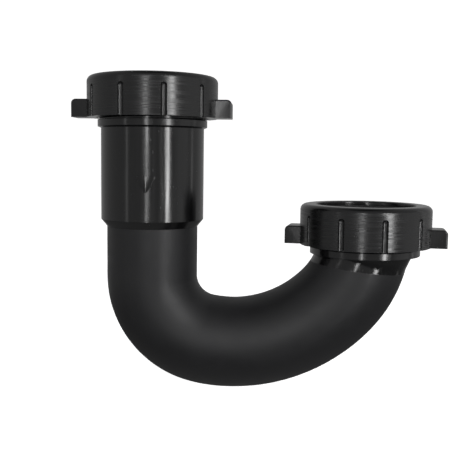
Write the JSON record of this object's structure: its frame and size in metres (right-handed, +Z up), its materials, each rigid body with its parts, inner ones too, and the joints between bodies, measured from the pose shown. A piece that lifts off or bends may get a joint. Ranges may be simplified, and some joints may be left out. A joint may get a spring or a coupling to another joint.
{
  "type": "p trap",
  "caption": "Black plastic J-bend of a sink P-trap with a long slip-joint inlet socket and winged slip nuts over washers on both threaded ends.",
  "frame": {"origin": "on the inlet leg's axis, where the socket's straight wall begins just under the washer seat", "axes": "+Z up along the inlet leg, the way the tailpiece leaves the socket; +X from the inlet leg towards the outlet leg; +Y across the bend"},
  "size_m": [0.1665, 0.0578, 0.1385],
  "materials": {
    "bend_plastic": "moulded black ABS, glossy on the turned socket and satin on the swept tube",
    "nut_plastic": "moulded black ABS, glossy, with faint turning marks",
    "washer_rubber": "dark flexible sealing washer, dull"
  },
  "bodies": {
    "bend": {"trap_bend": "bend_plastic"},
    "inlet_seal": {"inlet_washer": "washer_rubber"},
    "inlet_cap": {"inlet_nut": "nut_plastic"},
    "outlet_seal": {"outlet_washer": "washer_rubber"},
    "outlet_cap": {"outlet_nut": "nut_plastic"}
  },
  "joints": [
    {"name": "inlet_nut_lift", "type": "slide", "parent": "bend", "child": "inlet_seal", "axis": [0, 0, 1], "range_m": [0, 0.01326]},
    {"name": "inlet_nut_turn", "type": "hinge", "parent": "inlet_seal", "child": "inlet_cap", "pos_m": [0, 0, 0], "axis": [0, 0, 1], "range_deg": [0, 2160]},
    {"name": "outlet_nut_lift", "type": "slide", "parent": "bend", "child": "outlet_seal", "axis": [0, 0, 1], "range_m": [0, 0.01326]},
    {"name": "outlet_nut_turn", "type": "hinge", "parent": "outlet_seal", "child": "outlet_cap", "pos_m": [0.09525, 0, 0], "axis": [0, 0, 1], "range_deg": [0, 2160]}
  ],
  "couplings": [
    {"joint": "inlet_nut_lift", "follows": "inlet_nut_turn", "m_per_rad": 0.00035153},
    {"joint": "outlet_nut_lift", "follows": "outlet_nut_turn", "m_per_rad": 0.00035153}
  ]
}
